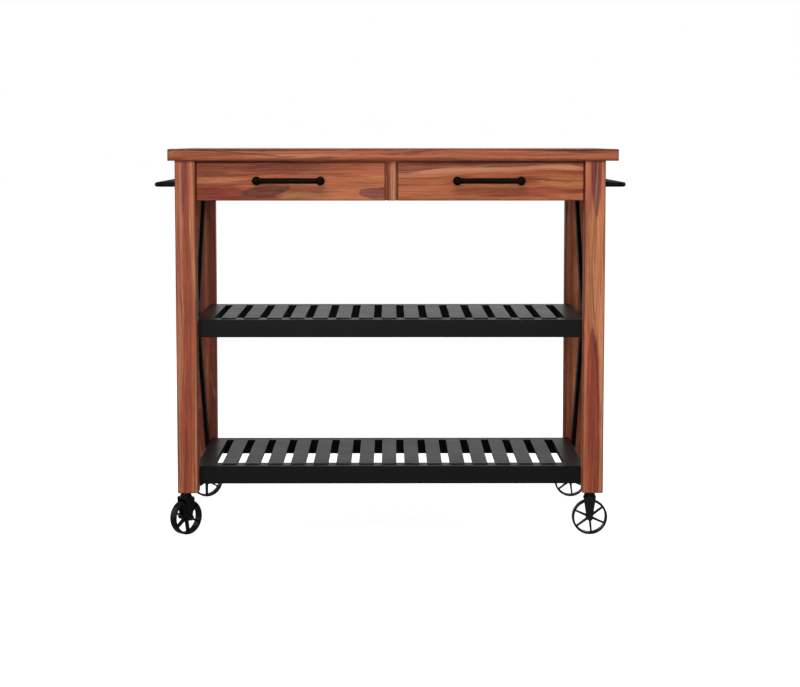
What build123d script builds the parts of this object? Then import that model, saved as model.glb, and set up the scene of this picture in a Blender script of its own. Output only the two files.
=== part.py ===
from build123d import *
import os
from math import cos, sin, radians, sqrt

# Kitchen trolley: hardwood frame and top, two drawers, two slatted steel
# shelves, steel X-braces and towel rails at the ends, four spoked swivel
# castors. Millimetres, +Z up, the user stands at -Y, +X is to the user's right.
# The origin is on the floor, in the middle of the overall box.

os.makedirs("parts", exist_ok=True)

# ---------------------------------------------------------------- dimensions
TOP_L, TOP_D, TOP_T = 1060.0, 600.0, 27.5      # worktop
TOP_Z = 920.0                                  # height of the working face
TOP_X = 6.7                                    # the top sits a little to the right
TOP_Y0 = -286.0                                # front edge of the worktop
UNDER = TOP_Z - TOP_T                          # underside of the worktop

LEG = 49.0                                     # square leg
LEG_OUT = 507.0                                # outer face of the legs, from the middle
LEG_IN = LEG_OUT - LEG
LEG_Z = 102.5                                  # bottom of the legs
Y_F, Y_R = -280.0, 308.0                       # front face of front legs, rear face of rear legs
Y_FI, Y_RI = Y_F + LEG, Y_R - LEG              # faces of the legs that look at each other
LEG_CX = LEG_OUT - LEG / 2
CY_F, CY_R = Y_F + LEG / 2, Y_R - LEG / 2

APRON_Z, APRON_T = 799.0, 18.0                 # lower edge and thickness of the aprons
TENON_Z, TENON_H, TENON_T, TENON_L = 812.0, 40.0, 8.0, 15.0
REAR_Y = 286.0                                 # front face of the rear apron
TOP_RAIL_T, TOP_RAIL_Y1 = 16.5, -180.0         # front top rail, thickness and rear edge
Y_RAIL = -256.0                                # front edge of the top rail

STILE_X0, STILE_X1 = -7.6, 13.8                # centre stile between the drawer fronts
PART_X0, PART_X1 = -6.0, 12.0                  # centre partition
PART_Z0, PART_Z1 = 805.0, UNDER - TOP_RAIL_T

FRONT_Y0, FRONT_T = -276.0, 19.5               # drawer fronts
FRONT_Z0, FRONT_Z1 = 799.0, 889.0
DRAWERS = {"left": (-456.2, -12.3, -450.0, -14.0, -313.7, -163.9),
           "right": (17.3, 455.3, 20.0, 450.0, 156.8, 306.6)}
BACK_X0, BACK_X1, BACK_T = -13.0, 19.0, 20.0   # strip behind the stile, closes the gaps beside it
BOX_Z0, BOX_Z1, BOX_Y1 = 808.0, 866.0, 220.0   # drawer box
BOX_T = 14.0
GROOVE_Z, GROOVE_H, GROOVE_D = 830.0, 14.6, 7.0
RUNNER_H = 14.0
BOTTOM_Z, BOTTOM_T, BOTTOM_IN = 813.0, 5.0, 5.0
PULL_Z, PULL_Y, KNOB_D, PULL_ROD = 845.6, -303.6, 20.8, 13.0

RAIL_Z, RAIL_D, RAIL_X, RAIL_BEND = 836.5, 11.0, 553.0, 18.0   # towel rails

BRACE_W, BRACE_T, BRACE_IN = 30.0, 9.0, 10.0   # flat steel braces
BRACE_ZC, BRACE_YC, BRACE_M = 503.0, 14.0, 1.449
BRACE_Z0, BRACE_Z1 = 122.0, 880.0
BRACE_NUT = 5.0                                # thin nut, clear of the shelf frame

SHELF_X, ANGLE, STEEL = 470.5, 42.0, 3.0       # shelf frame half length, angle size, thickness
SHELVES = {"lower": 118.0, "middle": 471.5}    # bottom edge of each shelf frame
OPEN_X, OPEN_Y = (-427.0, 423.5), (-172.0, 217.0)  # opening in a shelf frame
END_LIP = 10.0                                 # depth of the lips at the two ends of the opening
SLAT_W, SLAT_T, SLAT_LIP = 35.8, 2.0, 5.0      # slats, their long edges turned down
SLAT_PITCH, SLAT_N, SLAT_X, SLAT_IN = 55.2, 15, -3.2, 32.0
SCREW_X, SCREW_DZ = 463.2, (9.0, 24.0)         # screws that hold the shelf frames

CASTOR_DX = -5.0                               # castor stems sit a little left of the leg centres
WHEEL_D, WHEEL_W, RIM_T = 84.0, 20.0, 5.0
HUB_D, HUB_W, SPOKES = 17.0, 24.0, 6
AXLE_Z = WHEEL_D / 2
STEM_D, SOCKET_D, SOCKET_L, NECK_R = 10.0, 14.0, 36.0, 12.4
CASTORS = {"front_left": (-LEG_CX + CASTOR_DX - 2.5, CY_F, 45.0, 38.0),
           "front_right": (LEG_CX + CASTOR_DX, CY_F, 0.0, 36.5),
           "rear_left": (-LEG_CX + CASTOR_DX, CY_R, 25.0, 30.0),
           "rear_right": (LEG_CX + CASTOR_DX, CY_R, 0.0, 37.0)}


# ------------------------------------------------------------------- helpers
def span(a, b):
    """Lower end and length of the stretch between a and b."""
    return min(a, b), abs(b - a)


def brace_points(rising):
    """Outline of a brace in the Y-Z plane: a flat bar on the diagonal, its
    ends let into the legs and trimmed level."""
    half = BRACE_W / 2 * sqrt(1 + BRACE_M ** 2)
    ya, yb = Y_FI - BRACE_IN, Y_RI + BRACE_IN

    def zc(y):
        return BRACE_ZC + BRACE_M * (y - BRACE_YC)

    def yc(z):
        return BRACE_YC + (z - BRACE_ZC) / BRACE_M

    pts = [(ya, BRACE_Z0), (yc(BRACE_Z0 + half), BRACE_Z0), (yb, zc(yb) - half),
           (yb, BRACE_Z1), (yc(BRACE_Z1 - half), BRACE_Z1), (ya, zc(ya) + half)]
    if not rising:
        pts = [(2 * BRACE_YC - y, z) for y, z in pts][::-1]
    return pts


def brace_span(side):
    """X range of the braces, which lie in one plane in the middle of the legs."""
    return span(side * (LEG_CX - BRACE_T / 2), side * (LEG_CX + BRACE_T / 2))


# ------------------------------------------------------------------- worktop
BRACKETS_REAR = (-230.0, 230.0)
BRACKETS_SIDE = (-90.0, 120.0)
RAIL_SCREWS = (-340.0, 3.0, 340.0)
RAIL_SCREW_Y = -215.0
APRON_IN = LEG_OUT - APRON_T
BRK, BRK_W, BRK_T = 28.0, 24.0, 2.5
BRK_HOLE = 17.0

with BuildPart() as worktop:
    with BuildSketch(Plane.XY.offset(UNDER)):
        with Locations((TOP_X, TOP_Y0 + TOP_D / 2)):
            RectangleRounded(TOP_L, TOP_D, 4)
    extrude(amount=TOP_T)
    fillet(worktop.faces().sort_by(Axis.Z)[-1].edges(), 2.2)
    fillet(worktop.faces().sort_by(Axis.Z)[0].edges(), 1.6)
    with BuildSketch(Plane.XY.offset(UNDER)):
        with Locations(*[(x, REAR_Y - BRK_HOLE) for x in BRACKETS_REAR]):
            Circle(2)
        with Locations(*[(s * (APRON_IN - BRK_HOLE), y) for s in (-1, 1) for y in BRACKETS_SIDE]):
            Circle(2)
        with Locations(*[(x, RAIL_SCREW_Y) for x in RAIL_SCREWS]):
            Circle(2)
    extrude(amount=16, mode=Mode.SUBTRACT)
worktop.part.label = "worktop"
export_step(worktop.part, "parts/worktop.step")


# ---------------------------------------------------------------------- legs
def make_leg(label, side, rear):
    cx = side * LEG_CX
    cy = CY_R if rear else CY_F
    with BuildPart() as leg:
        with BuildSketch(Plane.XY.offset(LEG_Z)):
            with Locations((cx, cy)):
                RectangleRounded(LEG, LEG, 2.5)
        extrude(amount=UNDER - LEG_Z)
        chamfer(leg.faces().sort_by(Axis.Z)[0].edges(), 1.2)
        # bore for the castor socket
        with BuildSketch(Plane.XY.offset(LEG_Z)):
            with Locations(next((x, y) for x, y, *_ in CASTORS.values() if abs(x - cx) < LEG / 2 and y == cy)):
                Circle(SOCKET_D / 2)
        extrude(amount=SOCKET_L, mode=Mode.SUBTRACT)
        # bolt hole and counterbore for the towel rail
        x0, dx = span(side * LEG_IN, side * LEG_OUT)
        with BuildSketch(Plane.YZ.offset(x0)):
            with Locations((cy, RAIL_Z)):
                Circle(3)
        extrude(amount=dx, mode=Mode.SUBTRACT)
        x0, dx = span(side * LEG_IN, side * (LEG_IN + 4))
        with BuildSketch(Plane.YZ.offset(x0)):
            with Locations((cy, RAIL_Z)):
                Circle(6)
        extrude(amount=dx, mode=Mode.SUBTRACT)
        # slots for the two brace ends and the pins through them
        for rising in (True, False):
            x0, dx = brace_span(side)
            with BuildSketch(Plane.YZ.offset(x0)):
                with BuildLine():
                    Polyline(*brace_points(rising), close=True)
                make_face()
            extrude(amount=dx, mode=Mode.SUBTRACT)
        py = (Y_RI + BRACE_IN / 2) if rear else (Y_FI - BRACE_IN / 2)
        x0, dx = span(side * (LEG_OUT - 33), side * LEG_OUT)
        with BuildSketch(Plane.YZ.offset(x0)):
            for pz in PIN_Z:
                with Locations((py, pz)):
                    Circle(2)
        extrude(amount=dx, mode=Mode.SUBTRACT)
        # mortise for the side apron
        x0, dx = span(side * (LEG_OUT - APRON_T / 2 - TENON_T / 2), side * (LEG_OUT - APRON_T / 2 + TENON_T / 2))
        y0, dy = span(Y_RI, Y_RI + TENON_L) if rear else span(Y_FI - TENON_L, Y_FI)
        with BuildSketch(Plane.XY.offset(TENON_Z)):
            with Locations((x0 + dx / 2, y0 + dy / 2)):
                Rectangle(dx, dy)
        extrude(amount=TENON_H, mode=Mode.SUBTRACT)
        if rear:
            x0, dx = span(side * LEG_IN, side * (LEG_IN + TENON_L))
            y0 = REAR_Y + (APRON_T - TENON_T) / 2
            with BuildSketch(Plane.XY.offset(TENON_Z)):
                with Locations((x0 + dx / 2, y0 + TENON_T / 2)):
                    Rectangle(dx, TENON_T)
            extrude(amount=TENON_H, mode=Mode.SUBTRACT)
        else:
            x0, dx = span(side * LEG_IN, side * (LEG_IN + 12))
            with BuildSketch(Plane.XY.offset(TOP_TENON_Z)):
                with Locations((x0 + dx / 2, TOP_TENON_Y)):
                    Rectangle(dx, TOP_TENON_W)
            extrude(amount=TOP_TENON_H, mode=Mode.SUBTRACT)
        # pilot holes for the shelf screws
        with BuildSketch(Plane.XZ.offset(-(Y_RI + 16) if rear else -Y_FI)):
            for base in SHELVES.values():
                for dz in SCREW_DZ:
                    with Locations((side * SCREW_X, base + dz)):
                        Circle(2)
        extrude(amount=16, mode=Mode.SUBTRACT)
    leg.part.label = label
    export_step(leg.part, f"parts/{label}.step")


def brace_end_z(rising, y):
    m = BRACE_M if rising else -BRACE_M
    return BRACE_ZC + m * (y - BRACE_YC)


PIN_Z = (brace_end_z(True, Y_FI - BRACE_IN / 2), brace_end_z(False, Y_FI - BRACE_IN / 2))
TOP_TENON_Z, TOP_TENON_H, TOP_TENON_W, TOP_TENON_Y = 880.0, 8.5, 17.0, -243.5

make_leg("leg_front_left", -1, False)
make_leg("leg_front_right", 1, False)
make_leg("leg_rear_left", -1, True)
make_leg("leg_rear_right", 1, True)


# -------------------------------------------------------------------- aprons
def make_side_apron(label, side):
    cx = side * (LEG_OUT - APRON_T / 2)
    with BuildPart() as apron:
        with BuildSketch(Plane.XY.offset(APRON_Z)):
            with Locations((cx, (Y_FI + Y_RI) / 2)):
                Rectangle(APRON_T, Y_RI - Y_FI)
        extrude(amount=UNDER - APRON_Z)
        long_edges = apron.edges().filter_by(Axis.Y).group_by(Axis.Z)[0]
        fillet(long_edges, 1.5)
        with BuildSketch(Plane.XY.offset(TENON_Z)):
            with Locations((cx, (Y_FI + Y_RI) / 2)):
                Rectangle(TENON_T, Y_RI - Y_FI + 2 * TENON_L)
        extrude(amount=TENON_H)
        x0, dx = span(side * APRON_IN, side * (APRON_IN + 12))
        with BuildSketch(Plane.YZ.offset(x0)):
            for y in BRACKETS_SIDE:
                with Locations((y, UNDER - BRK_HOLE)):
                    Circle(2)
        extrude(amount=dx, mode=Mode.SUBTRACT)
    apron.part.label = label
    export_step(apron.part, f"parts/{label}.step")


make_side_apron("side_apron_left", -1)
make_side_apron("side_apron_right", 1)

with BuildPart() as rear_apron:
    with BuildSketch(Plane.XY.offset(APRON_Z)):
        with Locations((0, REAR_Y + APRON_T / 2)):
            Rectangle(2 * LEG_IN, APRON_T)
    extrude(amount=UNDER - APRON_Z)
    fillet(rear_apron.edges().filter_by(Axis.X).group_by(Axis.Z)[0], 1.5)
    with BuildSketch(Plane.XY.offset(TENON_Z)):
        with Locations((0, REAR_Y + APRON_T / 2)):
            Rectangle(2 * (LEG_IN + TENON_L), TENON_T)
    extrude(amount=TENON_H)
    with BuildSketch(Plane.XZ.offset(-(REAR_Y + 12))):
        with Locations(*[(x, UNDER - BRK_HOLE) for x in BRACKETS_REAR]):
            Circle(2)
    extrude(amount=12, mode=Mode.SUBTRACT)
rear_apron.part.label = "rear_apron"
export_step(rear_apron.part, "parts/rear_apron.step")

with BuildPart() as front_top_rail:
    with BuildSketch(Plane.XY.offset(UNDER - TOP_RAIL_T)):
        with Locations((0, (Y_RAIL + TOP_RAIL_Y1) / 2)):
            Rectangle(2 * LEG_IN, TOP_RAIL_Y1 - Y_RAIL)
    extrude(amount=TOP_RAIL_T)
    with BuildSketch(Plane.XY.offset(TOP_TENON_Z)):
        with Locations((0, TOP_TENON_Y)):
            Rectangle(2 * (LEG_IN + 12), TOP_TENON_W)
    extrude(amount=TOP_TENON_H)
    with BuildSketch(Plane.XY.offset(UNDER - TOP_RAIL_T)):
        with Locations(*[(x, RAIL_SCREW_Y) for x in RAIL_SCREWS]):
            Circle(2)
    extrude(amount=TOP_RAIL_T, mode=Mode.SUBTRACT)
front_top_rail.part.label = "front_top_rail"
export_step(front_top_rail.part, "parts/front_top_rail.step")

with BuildPart() as centre_stile:
    with BuildSketch(Plane.XY.offset(APRON_Z)):
        with Locations(((STILE_X0 + STILE_X1) / 2, FRONT_Y0 + 10)):
            Rectangle(STILE_X1 - STILE_X0, 20)
    extrude(amount=UNDER - APRON_Z)
    fillet(centre_stile.edges().filter_by(Axis.Z).group_by(Axis.Y)[0], 1.5)
    # wider strip behind it, under the top rail
    with BuildSketch(Plane.XY.offset(APRON_Z)):
        with Locations(((BACK_X0 + BACK_X1) / 2, Y_RAIL + BACK_T / 2)):
            Rectangle(BACK_X1 - BACK_X0, BACK_T)
    extrude(amount=PART_Z1 - APRON_Z)
centre_stile.part.label = "centre_stile"
export_step(centre_stile.part, "parts/centre_stile.step")

# the partition reaches from the stile to the rear apron and is notched under the top rail
with BuildPart() as centre_partition:
    with BuildSketch(Plane.YZ.offset(PART_X0)):
        with BuildLine():
            Polyline((Y_RAIL + BACK_T, PART_Z0), (REAR_Y, PART_Z0), (REAR_Y, UNDER), (TOP_RAIL_Y1, UNDER),
                     (TOP_RAIL_Y1, PART_Z1), (Y_RAIL + BACK_T, PART_Z1), close=True)
        make_face()
    extrude(amount=PART_X1 - PART_X0)
    # relief for the screw head under the top rail
    with BuildSketch(Plane.XY.offset(PART_Z1 - 4)):
        with Locations((RAIL_SCREWS[1], RAIL_SCREW_Y)):
            Circle(4.5)
    extrude(amount=4, mode=Mode.SUBTRACT)
centre_partition.part.label = "centre_partition"
export_step(centre_partition.part, "parts/centre_partition.step")


# boards between the legs that carry the outer drawer runners
def make_slide_rail(label, side):
    x0, dx = span(side * LEG_IN, side * (LEG_IN + 18))
    with BuildPart() as rail:
        with BuildSketch(Plane.XY.offset(806)):
            with Locations((x0 + dx / 2, (Y_FI + Y_RI) / 2)):
                Rectangle(dx, Y_RI - Y_FI)
        extrude(amount=64)
        chamfer(rail.edges().filter_by(Axis.Y).group_by(Axis.Z)[0], 1)
    rail.part.label = label
    export_step(rail.part, f"parts/{label}.step")


make_slide_rail("slide_rail_left", -1)
make_slide_rail("slide_rail_right", 1)

# hardwood strips that the grooves in the drawer sides run on
RUNNERS = [(-LEG_IN, -450 + GROOVE_D - 0.5), (-14 - GROOVE_D + 0.5, PART_X0),
           (PART_X1, 20 + GROOVE_D - 0.5), (450 - GROOVE_D + 0.5, LEG_IN)]
RUN_Y0, RUN_Y1 = -214.0, 240.0
with BuildPart() as drawer_runners:
    for x0, x1 in RUNNERS:
        with BuildSketch(Plane.XY.offset(GROOVE_Z + (GROOVE_H - RUNNER_H) / 2)):
            with Locations(((x0 + x1) / 2, (RUN_Y0 + RUN_Y1) / 2)):
                Rectangle(x1 - x0, RUN_Y1 - RUN_Y0)
        extrude(amount=RUNNER_H)
drawer_runners.part.label = "drawer_runners"
export_step(drawer_runners.part, "parts/drawer_runners.step")


# ------------------------------------------------------------------- drawers
def make_drawer(side, dims):
    fx0, fx1, bx0, bx1, px0, px1 = dims
    back_y = FRONT_Y0 + FRONT_T
    with BuildPart() as front:
        with BuildSketch(Plane.XY.offset(FRONT_Z0)):
            with Locations(((fx0 + fx1) / 2, FRONT_Y0 + FRONT_T / 2)):
                Rectangle(fx1 - fx0, FRONT_T)
        extrude(amount=FRONT_Z1 - FRONT_Z0)
        fillet(front.faces().sort_by(Axis.Y)[0].edges(), 1.8)
        # groove for the bottom
        with BuildSketch(Plane.XY.offset(BOTTOM_Z)):
            with Locations(((bx0 + bx1) / 2, back_y - BOTTOM_IN / 2)):
                Rectangle(bx1 - bx0 - 2 * (BOX_T - BOTTOM_IN), BOTTOM_IN)
        extrude(amount=BOTTOM_T, mode=Mode.SUBTRACT)
        # holes for the pull screws
        with BuildSketch(Plane.XZ.offset(-back_y)):
            with Locations((px0, PULL_Z), (px1, PULL_Z)):
                Circle(2.2)
        extrude(amount=FRONT_T, mode=Mode.SUBTRACT)
    front.part.label = f"drawer_front_{side}"
    export_step(front.part, f"parts/drawer_front_{side}.step")

    # sides: outer groove for the runner, inner groove for the bottom
    for name, x0, out in (("a", bx0, -1), ("b", bx1 - BOX_T, 1)):
        with BuildPart() as board:
            with BuildSketch(Plane.XY.offset(BOX_Z0)):
                with Locations((x0 + BOX_T / 2, (back_y + BOX_Y1) / 2)):
                    Rectangle(BOX_T, BOX_Y1 - back_y)
            extrude(amount=BOX_Z1 - BOX_Z0)
            fillet(board.edges().filter_by(Axis.Y).group_by(Axis.Z)[-1], 1.5)
            gx = (x0 + GROOVE_D / 2) if out < 0 else (x0 + BOX_T - GROOVE_D / 2)
            with BuildSketch(Plane.XY.offset(GROOVE_Z)):
                with Locations((gx, (RUN_Y0 - 4 + BOX_Y1) / 2)):
                    Rectangle(GROOVE_D, BOX_Y1 - RUN_Y0 + 4)
            extrude(amount=GROOVE_H, mode=Mode.SUBTRACT)
            bx = (x0 + BOX_T - BOTTOM_IN / 2) if out < 0 else (x0 + BOTTOM_IN / 2)
            with BuildSketch(Plane.XY.offset(BOTTOM_Z)):
                with Locations((bx, (back_y + BOX_Y1) / 2)):
                    Rectangle(BOTTOM_IN, BOX_Y1 - back_y)
            extrude(amount=BOTTOM_T, mode=Mode.SUBTRACT)
        which = "left" if out < 0 else "right"
        board.part.label = f"drawer_{side}_side_{which}"
        export_step(board.part, f"parts/drawer_{side}_side_{which}.step")

    with BuildPart() as back:
        with BuildSketch(Plane.XY.offset(BOTTOM_Z + BOTTOM_T)):
            with Locations(((bx0 + bx1) / 2, BOX_Y1 - BOX_T / 2)):
                Rectangle(bx1 - bx0 - 2 * BOX_T, BOX_T)
        extrude(amount=BOX_Z1 - BOTTOM_Z - BOTTOM_T)
        fillet(back.edges().filter_by(Axis.X).group_by(Axis.Z)[-1], 1.5)
    back.part.label = f"drawer_{side}_back"
    export_step(back.part, f"parts/drawer_{side}_back.step")

    with BuildPart() as bottom:
        with BuildSketch(Plane.XY.offset(BOTTOM_Z)):
            with Locations(((bx0 + bx1) / 2, (back_y - BOTTOM_IN + BOX_Y1) / 2)):
                Rectangle(bx1 - bx0 - 2 * (BOX_T - BOTTOM_IN), BOX_Y1 - back_y + BOTTOM_IN)
        extrude(amount=BOTTOM_T)
    bottom.part.label = f"drawer_{side}_bottom"
    export_step(bottom.part, f"parts/drawer_{side}_bottom.step")

    # block on the back that meets the top rail when the drawer is fully out
    with BuildPart() as stop:
        with BuildSketch(Plane.XZ.offset(-(BOX_Y1 - BOX_T))):
            with Locations(((bx0 + bx1) / 2, 862)):
                RectangleRounded(26, 44, 5)
        extrude(amount=12)
        chamfer(stop.faces().sort_by(Axis.Y)[0].edges(), 1)
    stop.part.label = f"drawer_stop_{side}"
    export_step(stop.part, f"parts/drawer_stop_{side}.step")

    # pull: two ball-headed posts and a round bar between them
    with BuildPart() as pull:
        for px in (px0, px1):
            with BuildSketch(Plane.XZ.offset(-FRONT_Y0)):
                with Locations((px, PULL_Z)):
                    Circle(8.5)
            extrude(amount=2.5)
            with BuildSketch(Plane.XZ.offset(-FRONT_Y0)):
                with Locations((px, PULL_Z)):
                    Circle(5)
            extrude(amount=FRONT_Y0 - PULL_Y)
            with Locations((px, PULL_Y, PULL_Z)):
                Sphere(KNOB_D / 2)
        with BuildSketch(Plane.YZ.offset(px0)):
            with Locations((PULL_Y, PULL_Z)):
                Circle(PULL_ROD / 2)
        extrude(amount=px1 - px0)
        with BuildSketch(Plane.XZ.offset(-FRONT_Y0)):
            with Locations((px0, PULL_Z), (px1, PULL_Z)):
                Circle(2)
        extrude(amount=14, mode=Mode.SUBTRACT)
    pull.part.label = f"pull_{side}"
    export_step(pull.part, f"parts/pull_{side}.step")

    with BuildPart() as screws:
        with BuildSketch(Plane.XZ.offset(-back_y)):
            with Locations((px0, PULL_Z), (px1, PULL_Z)):
                Circle(2)
        extrude(amount=FRONT_T + 12)
        with BuildSketch(Plane.XZ.offset(-(back_y + 2.6))):
            with Locations((px0, PULL_Z), (px1, PULL_Z)):
                Circle(4)
        extrude(amount=2.6)
        fillet(screws.faces().filter_by(GeomType.PLANE).sort_by(Axis.Y)[-2:].edges(), 0.9)
        with BuildSketch(Plane.XZ.offset(-(back_y + 2.6))):
            with Locations((px0, PULL_Z), (px1, PULL_Z)):
                Rectangle(4.6, 1)
                Rectangle(1, 4.6)
        extrude(amount=1.2, mode=Mode.SUBTRACT)
    screws.part.label = f"pull_screws_{side}"
    export_step(screws.part, f"parts/pull_screws_{side}.step")


make_drawer("left", DRAWERS["left"])
make_drawer("right", DRAWERS["right"])


# -------------------------------------------------------------- towel rails
def make_towel_rail(label, side):
    with BuildPart() as rail:
        with BuildLine() as path:
            FilletPolyline((side * LEG_OUT, CY_F, RAIL_Z), (side * RAIL_X, CY_F, RAIL_Z),
                           (side * RAIL_X, CY_R, RAIL_Z), (side * LEG_OUT, CY_R, RAIL_Z), radius=RAIL_BEND)
        with BuildSketch(Plane(origin=(side * LEG_OUT, CY_F, RAIL_Z), z_dir=(side, 0, 0))):
            Circle(RAIL_D / 2)
        sweep(path=path.wires()[0])
        x0, dx = span(side * LEG_OUT, side * (LEG_OUT + 16))
        with BuildSketch(Plane.YZ.offset(x0)):
            with Locations((CY_F, RAIL_Z), (CY_R, RAIL_Z)):
                Circle(3)
        extrude(amount=dx, mode=Mode.SUBTRACT)
    rail.part.label = label
    export_step(rail.part, f"parts/{label}.step")


make_towel_rail("towel_rail_left", -1)
make_towel_rail("towel_rail_right", 1)

with BuildPart() as towel_rail_bolts:
    for side in (-1, 1):
        x0, dx = span(side * (LEG_IN + 3.6), side * (LEG_OUT + 14))
        with BuildSketch(Plane.YZ.offset(x0)):
            with Locations((CY_F, RAIL_Z), (CY_R, RAIL_Z)):
                Circle(3)
        extrude(amount=dx)
        x0, dx = span(side * (LEG_IN + 0.2), side * (LEG_IN + 4))
        with BuildSketch(Plane.YZ.offset(x0)):
            with Locations((CY_F, RAIL_Z), (CY_R, RAIL_Z)):
                Circle(5)
        extrude(amount=dx)
        x0, dx = span(side * (LEG_IN + 0.2), side * (LEG_IN + 2.4))
        with BuildSketch(Plane.YZ.offset(x0)):
            with Locations((CY_F, RAIL_Z), (CY_R, RAIL_Z)):
                RegularPolygon(2.3, 6)
        extrude(amount=dx, mode=Mode.SUBTRACT)
towel_rail_bolts.part.label = "towel_rail_bolts"
export_step(towel_rail_bolts.part, "parts/towel_rail_bolts.step")


# -------------------------------------------------------------------- braces
def make_brace(label, side, rising):
    x0, dx = brace_span(side)
    with BuildPart() as brace:
        with BuildSketch(Plane.YZ.offset(x0)):
            with BuildLine():
                Polyline(*brace_points(rising), close=True)
            make_face()
            with Locations((BRACE_YC, BRACE_ZC)):
                Circle(4, mode=Mode.SUBTRACT)
            ends = (Y_FI - BRACE_IN / 2, Y_RI + BRACE_IN / 2)
            for y in ends:
                with Locations((y, brace_end_z(rising, y))):
                    Circle(2, mode=Mode.SUBTRACT)
        extrude(amount=dx)
        # halved where the other bar crosses: the rising bar keeps its outer half
        near = LEG_CX - BRACE_T / 2 if rising else LEG_CX
        x0, dx = span(side * near, side * (near + BRACE_T / 2))
        with BuildSketch(Plane.YZ.offset(x0)):
            with BuildLine():
                Polyline(*brace_points(not rising), close=True)
            make_face()
        extrude(amount=dx, mode=Mode.SUBTRACT)
    brace.part.label = label
    export_step(brace.part, f"parts/{label}.step")


make_brace("brace_left_rising", -1, True)
make_brace("brace_left_falling", -1, False)
make_brace("brace_right_rising", 1, True)
make_brace("brace_right_falling", 1, False)

# a bolt and nut where each pair of braces crosses
with BuildPart() as brace_bolts:
    for side in (-1, 1):
        x0, dx = span(side * (LEG_CX + BRACE_T / 2), side * (LEG_CX - BRACE_T / 2 - BRACE_NUT - 0.5))
        with BuildSketch(Plane.YZ.offset(x0)):
            with Locations((BRACE_YC, BRACE_ZC)):
                Circle(4)
        extrude(amount=dx)
        x0, dx = span(side * (LEG_CX + BRACE_T / 2), side * (LEG_CX + BRACE_T / 2 + 5))
        with BuildSketch(Plane.YZ.offset(x0)):
            with Locations((BRACE_YC, BRACE_ZC)):
                Circle(8)
        extrude(amount=dx)
        top = brace_bolts.faces().sort_by(Axis.X)[-1 if side > 0 else 0]
        fillet(top.edges(), 3.2)
brace_bolts.part.label = "brace_bolts"
export_step(brace_bolts.part, "parts/brace_bolts.step")

with BuildPart() as brace_nuts:
    for side in (-1, 1):
        x0, dx = span(side * (LEG_CX - BRACE_T / 2), side * (LEG_CX - BRACE_T / 2 - BRACE_NUT))
        with BuildSketch(Plane.YZ.offset(x0)):
            with Locations((BRACE_YC, BRACE_ZC)):
                RegularPolygon(6.5, 6, major_radius=False)
                Circle(4, mode=Mode.SUBTRACT)
        extrude(amount=dx)
brace_nuts.part.label = "brace_nuts"
export_step(brace_nuts.part, "parts/brace_nuts.step")

with BuildPart() as brace_pins:
    for side in (-1, 1):
        x0, dx = span(side * (LEG_OUT - 33), side * (LEG_OUT - 0.3))
        with BuildSketch(Plane.YZ.offset(x0)):
            for y in (Y_FI - BRACE_IN / 2, Y_RI + BRACE_IN / 2):
                for z in PIN_Z:
                    with Locations((y, z)):
                        Circle(2)
        extrude(amount=dx)
brace_pins.part.label = "brace_pins"
export_step(brace_pins.part, "parts/brace_pins.step")


# ------------------------------------------------------------------- shelves
def make_shelf(name, base):
    depth = Y_RI - Y_FI
    ymid = (Y_FI + Y_RI) / 2
    yopen = (OPEN_Y[0] + OPEN_Y[1]) / 2
    top = base + ANGLE
    xs = [SLAT_X + SLAT_PITCH * (i - (SLAT_N - 1) / 2) for i in range(SLAT_N)]
    # welded frame of angle steel, its flat side up; its front and rear webs lap the legs
    with BuildPart() as frame:
        with BuildSketch(Plane.XY.offset(base)):
            with Locations((0, ymid)):
                Rectangle(2 * SHELF_X, depth)
        extrude(amount=ANGLE)
        fillet(frame.faces().sort_by(Axis.Z)[-1].edges(), 2)
        with BuildSketch(Plane.XY.offset(base)):
            with Locations((0, ymid)):
                Rectangle(2 * (SHELF_X - STEEL), depth - 2 * STEEL)
        extrude(amount=ANGLE - STEEL, mode=Mode.SUBTRACT)
        with BuildSketch(Plane.XY.offset(base)):
            with Locations(((OPEN_X[0] + OPEN_X[1]) / 2, yopen)):
                Rectangle(OPEN_X[1] - OPEN_X[0], OPEN_Y[1] - OPEN_Y[0])
        extrude(amount=ANGLE, mode=Mode.SUBTRACT)
        # lips turned down at the two ends of the opening
        with BuildSketch(Plane.XY.offset(top - STEEL - END_LIP)):
            with Locations((OPEN_X[0] - STEEL / 2, yopen), (OPEN_X[1] + STEEL / 2, yopen)):
                Rectangle(STEEL, OPEN_Y[1] - OPEN_Y[0])
        extrude(amount=END_LIP)
        with BuildSketch(Plane.XZ.offset(-Y_RI)):
            for sx in (-1, 1):
                for dz in SCREW_DZ:
                    with Locations((sx * SCREW_X, base + dz)):
                        Circle(2)
        extrude(amount=depth, mode=Mode.SUBTRACT)
    frame.part.label = f"shelf_frame_{name}"
    export_step(frame.part, f"parts/shelf_frame_{name}.step")

    with BuildPart() as slats:
        with BuildSketch(Plane.XY.offset(top)):
            with Locations(*[(x, ymid) for x in xs]):
                Rectangle(SLAT_W, depth - 2 * SLAT_IN)
        extrude(amount=SLAT_T)
        fillet(slats.faces().group_by(Axis.Z)[-1].edges(), 0.8)
        with BuildSketch(Plane.XY.offset(top - SLAT_LIP)):
            with Locations(*[(x + s * (SLAT_W - SLAT_T) / 2, yopen) for x in xs for s in (-1, 1)]):
                Rectangle(SLAT_T, OPEN_Y[1] - OPEN_Y[0] - 1)
        extrude(amount=SLAT_LIP)
    slats.part.label = f"shelf_slats_{name}"
    export_step(slats.part, f"parts/shelf_slats_{name}.step")


make_shelf("middle", SHELVES["middle"])
make_shelf("lower", SHELVES["lower"])

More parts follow.
